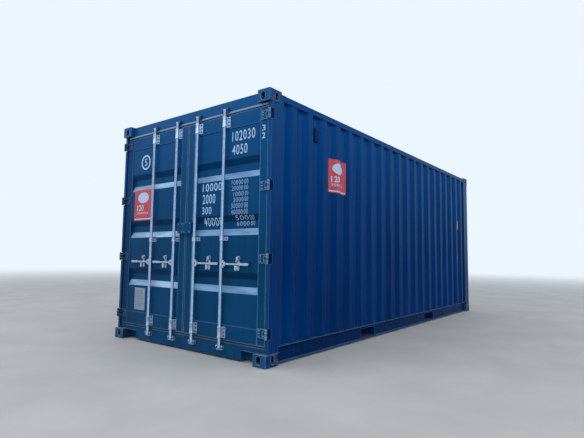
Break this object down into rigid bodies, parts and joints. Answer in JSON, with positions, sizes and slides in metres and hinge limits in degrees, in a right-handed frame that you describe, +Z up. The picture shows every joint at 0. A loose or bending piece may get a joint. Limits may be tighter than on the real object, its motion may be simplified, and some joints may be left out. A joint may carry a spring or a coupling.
{
  "type": "shipping container",
  "caption": "Steel dry-freight container with corrugated walls, corner fittings and a two-leaf door end with turning lock bars.",
  "frame": {"origin": "middle of the footprint, on the feet of the bottom corner fittings", "axes": "+X from the doors to the closed end, +Y to the left of someone who faces the doors, +Z up"},
  "size_m": [6.058, 2.438, 2.591],
  "materials": {
    "navy_paint": "glossy navy paint",
    "galvanised_steel": "hot-dip galvanised",
    "rubber_seal": "matt black",
    "plywood": "sealed plywood",
    "vent_plastic": "matt dark plastic"
  },
  "bodies": {
    "root": {"bottom_corner_fittings": "navy_paint", "top_corner_fittings": "navy_paint", "bottom_side_rails": "navy_paint", "top_side_rails": "navy_paint", "door_posts": "navy_paint", "front_posts": "navy_paint", "door_sill": "navy_paint", "door_header": "navy_paint", "front_sill": "navy_paint", "front_header": "navy_paint", "right_side_wall": "navy_paint", "left_side_wall": "navy_paint", "front_wall": "navy_paint", "roof_sheet": "navy_paint", "front_roof_plate": "navy_paint", "roof_corner_plates": "navy_paint", "cross_members": "navy_paint", "fork_pockets": "navy_paint", "floor_boards": "plywood", "floor_strip": "navy_paint", "ventilators": "vent_plastic", "cam_keepers": "galvanised_steel", "hinge_lugs": "navy_paint"},
    "right_leaf": {"right_leaf_stiles": "navy_paint", "right_leaf_rails": "navy_paint", "right_leaf_panel": "navy_paint", "right_leaf_seal": "rubber_seal", "right_hinge_blades": "navy_paint", "right_bar_guides": "galvanised_steel", "right_handle_catches": "galvanised_steel", "right_lock_box": "navy_paint"},
    "left_leaf": {"left_leaf_stiles": "navy_paint", "left_leaf_rails": "navy_paint", "left_leaf_panel": "navy_paint", "left_leaf_seal": "rubber_seal", "left_hinge_blades": "navy_paint", "left_bar_guides": "galvanised_steel", "left_handle_catches": "galvanised_steel", "left_lock_box": "navy_paint"},
    "bar_1": {"lock_bar_1": "galvanised_steel", "handle_1": "galvanised_steel"},
    "bar_2": {"lock_bar_2": "galvanised_steel", "handle_2": "galvanised_steel"},
    "bar_3": {"lock_bar_3": "galvanised_steel", "handle_3": "galvanised_steel"},
    "bar_4": {"lock_bar_4": "galvanised_steel", "handle_4": "galvanised_steel"},
    "latch_1": {"catch_latch_1": "galvanised_steel"},
    "latch_2": {"catch_latch_2": "galvanised_steel"},
    "latch_3": {"catch_latch_3": "galvanised_steel"},
    "latch_4": {"catch_latch_4": "galvanised_steel"}
  },
  "joints": [
    {"name": "right_leaf_hinge", "type": "hinge", "parent": "root", "child": "right_leaf", "pos_m": [-3.01, -1.198, 1.31], "axis": [0, 0, 1], "range_deg": [0, 265]},
    {"name": "left_leaf_hinge", "type": "hinge", "parent": "root", "child": "left_leaf", "pos_m": [-3.01, 1.198, 1.31], "axis": [0, 0, -1], "range_deg": [0, 265]},
    {"name": "bar_1_turn", "type": "hinge", "parent": "left_leaf", "child": "bar_1", "pos_m": [-3.003, 0.59, 0.925], "axis": [0, 0, -1], "range_deg": [-110, 0]},
    {"name": "bar_2_turn", "type": "hinge", "parent": "left_leaf", "child": "bar_2", "pos_m": [-3.003, 0.172, 0.925], "axis": [0, 0, -1], "range_deg": [-110, 0]},
    {"name": "bar_3_turn", "type": "hinge", "parent": "right_leaf", "child": "bar_3", "pos_m": [-3.003, -0.172, 0.925], "axis": [0, 0, 1], "range_deg": [-110, 0]},
    {"name": "bar_4_turn", "type": "hinge", "parent": "right_leaf", "child": "bar_4", "pos_m": [-3.003, -0.59, 0.925], "axis": [0, 0, 1], "range_deg": [-110, 0]},
    {"name": "latch_1_lift", "type": "hinge", "parent": "left_leaf", "child": "latch_1", "pos_m": [-2.984, 0.756, 0.981], "axis": [1, 0, 0], "range_deg": [-95, 0]},
    {"name": "latch_2_lift", "type": "hinge", "parent": "left_leaf", "child": "latch_2", "pos_m": [-2.984, 0.338, 0.981], "axis": [1, 0, 0], "range_deg": [-95, 0]},
    {"name": "latch_3_lift", "type": "hinge", "parent": "right_leaf", "child": "latch_3", "pos_m": [-2.984, -0.384, 0.981], "axis": [-1, 0, 0], "range_deg": [-95, 0]},
    {"name": "latch_4_lift", "type": "hinge", "parent": "right_leaf", "child": "latch_4", "pos_m": [-2.984, -0.802, 0.981], "axis": [-1, 0, 0], "range_deg": [-95, 0]}
  ]
}
